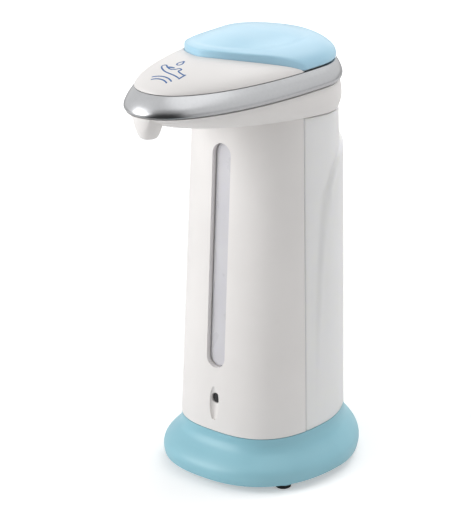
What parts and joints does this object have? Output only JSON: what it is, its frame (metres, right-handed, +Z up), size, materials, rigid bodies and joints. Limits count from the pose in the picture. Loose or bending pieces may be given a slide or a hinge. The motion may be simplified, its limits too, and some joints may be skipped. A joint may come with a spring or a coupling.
{
  "type": "automatic hand sanitizer dispenser",
  "caption": "Free-standing touch-free sanitizer dispenser: oval column with a clear-backed tank, overhanging spout head with hinged filler lid, and flared battery foot.",
  "frame": {"origin": "on the table, under the middle of the whole dispenser's box", "axes": "+Z up, -Y towards the spout and the user, +X to the right as seen from behind the dispenser"},
  "size_m": [0.0788, 0.1238, 0.1875],
  "materials": {
    "white_abs": "satin moulded white",
    "blue_abs": "satin moulded light blue",
    "lid_blue_abs": "satin moulded pale blue",
    "clear_tank": "milky translucent",
    "satin_silver": "satin silver paint",
    "black_rubber": "matt",
    "silicone": "milky soft",
    "dark_lens": "smoked clear",
    "led_clear": "clear epoxy",
    "board_green": "solder mask",
    "steel": "nickel plated",
    "grey_abs": "matt moulded",
    "black_abs": "matt moulded",
    "acetal": "smooth natural",
    "cell_jacket": "plain sleeve"
  },
  "bodies": {
    "root": {"base_housing": "blue_abs", "rubber_foot_1": "black_rubber", "rubber_foot_2": "black_rubber", "rubber_foot_3": "black_rubber", "rubber_foot_4": "black_rubber", "battery_tray": "grey_abs", "battery_1": "cell_jacket", "battery_2": "cell_jacket", "battery_3": "cell_jacket", "battery_4": "cell_jacket", "battery_contact_1": "steel", "battery_contact_2": "steel", "battery_contact_3": "steel", "battery_contact_4": "steel", "battery_contact_5": "steel", "power_switch": "black_abs", "base_screw_1": "steel", "base_screw_2": "steel", "base_screw_3": "steel", "base_screw_4": "steel", "front_shell": "white_abs", "reservoir": "clear_tank", "tank_strainer": "acetal", "head_housing": "white_abs", "trim_band": "satin_silver", "top_cover": "white_abs", "cover_screw_1": "steel", "cover_screw_2": "steel", "lid_hinge_pin": "steel", "filler_neck": "white_abs", "tank_gasket": "silicone", "nozzle": "acetal", "driven_gear_pin": "steel", "pump_body": "grey_abs", "pump_gasket": "silicone", "pump_cover": "grey_abs", "pump_screw_1": "steel", "pump_screw_2": "steel", "shaft_seal": "silicone", "motor_can": "steel", "motor_end_cap": "black_abs", "pump_carrier": "grey_abs", "sensor_board": "board_green", "control_board": "board_green", "ir_emitter": "led_clear", "ir_receiver": "dark_lens", "sensor_window": "dark_lens", "suction_tube": "silicone", "delivery_tube": "silicone"},
    "lid": {"filler_lid": "lid_blue_abs", "lid_seal": "silicone"},
    "battery_door": {"battery_door": "blue_abs"},
    "switch_knob": {"switch_knob": "black_abs"},
    "drive": {"drive_gear": "acetal", "motor_shaft": "steel"},
    "driven": {"driven_gear": "acetal"}
  },
  "joints": [
    {"name": "lid_hinge", "type": "hinge", "parent": "root", "child": "lid", "pos_m": [0, 0.04362, 0.1754], "axis": [-1, 0, 0], "range_deg": [0, 95]},
    {"name": "battery_door_hinge", "type": "hinge", "parent": "root", "child": "battery_door", "pos_m": [0, 0.03682, 0.0051], "axis": [1, 0, 0], "range_deg": [0, 85]},
    {"name": "power_switch_slide", "type": "slide", "parent": "root", "child": "switch_knob", "axis": [1, 0, 0], "range_m": [0, 0.004]},
    {"name": "motor_spin", "type": "hinge", "parent": "root", "child": "drive", "pos_m": [0, 0.00742, 0.0359], "axis": [0, -1, 0], "continuous": true},
    {"name": "pump_gear_spin", "type": "hinge", "parent": "root", "child": "driven", "pos_m": [0, 0.00742, 0.0263], "axis": [0, -1, 0], "continuous": true}
  ],
  "couplings": [
    {"joint": "pump_gear_spin", "follows": "motor_spin", "ratio": -1}
  ]
}
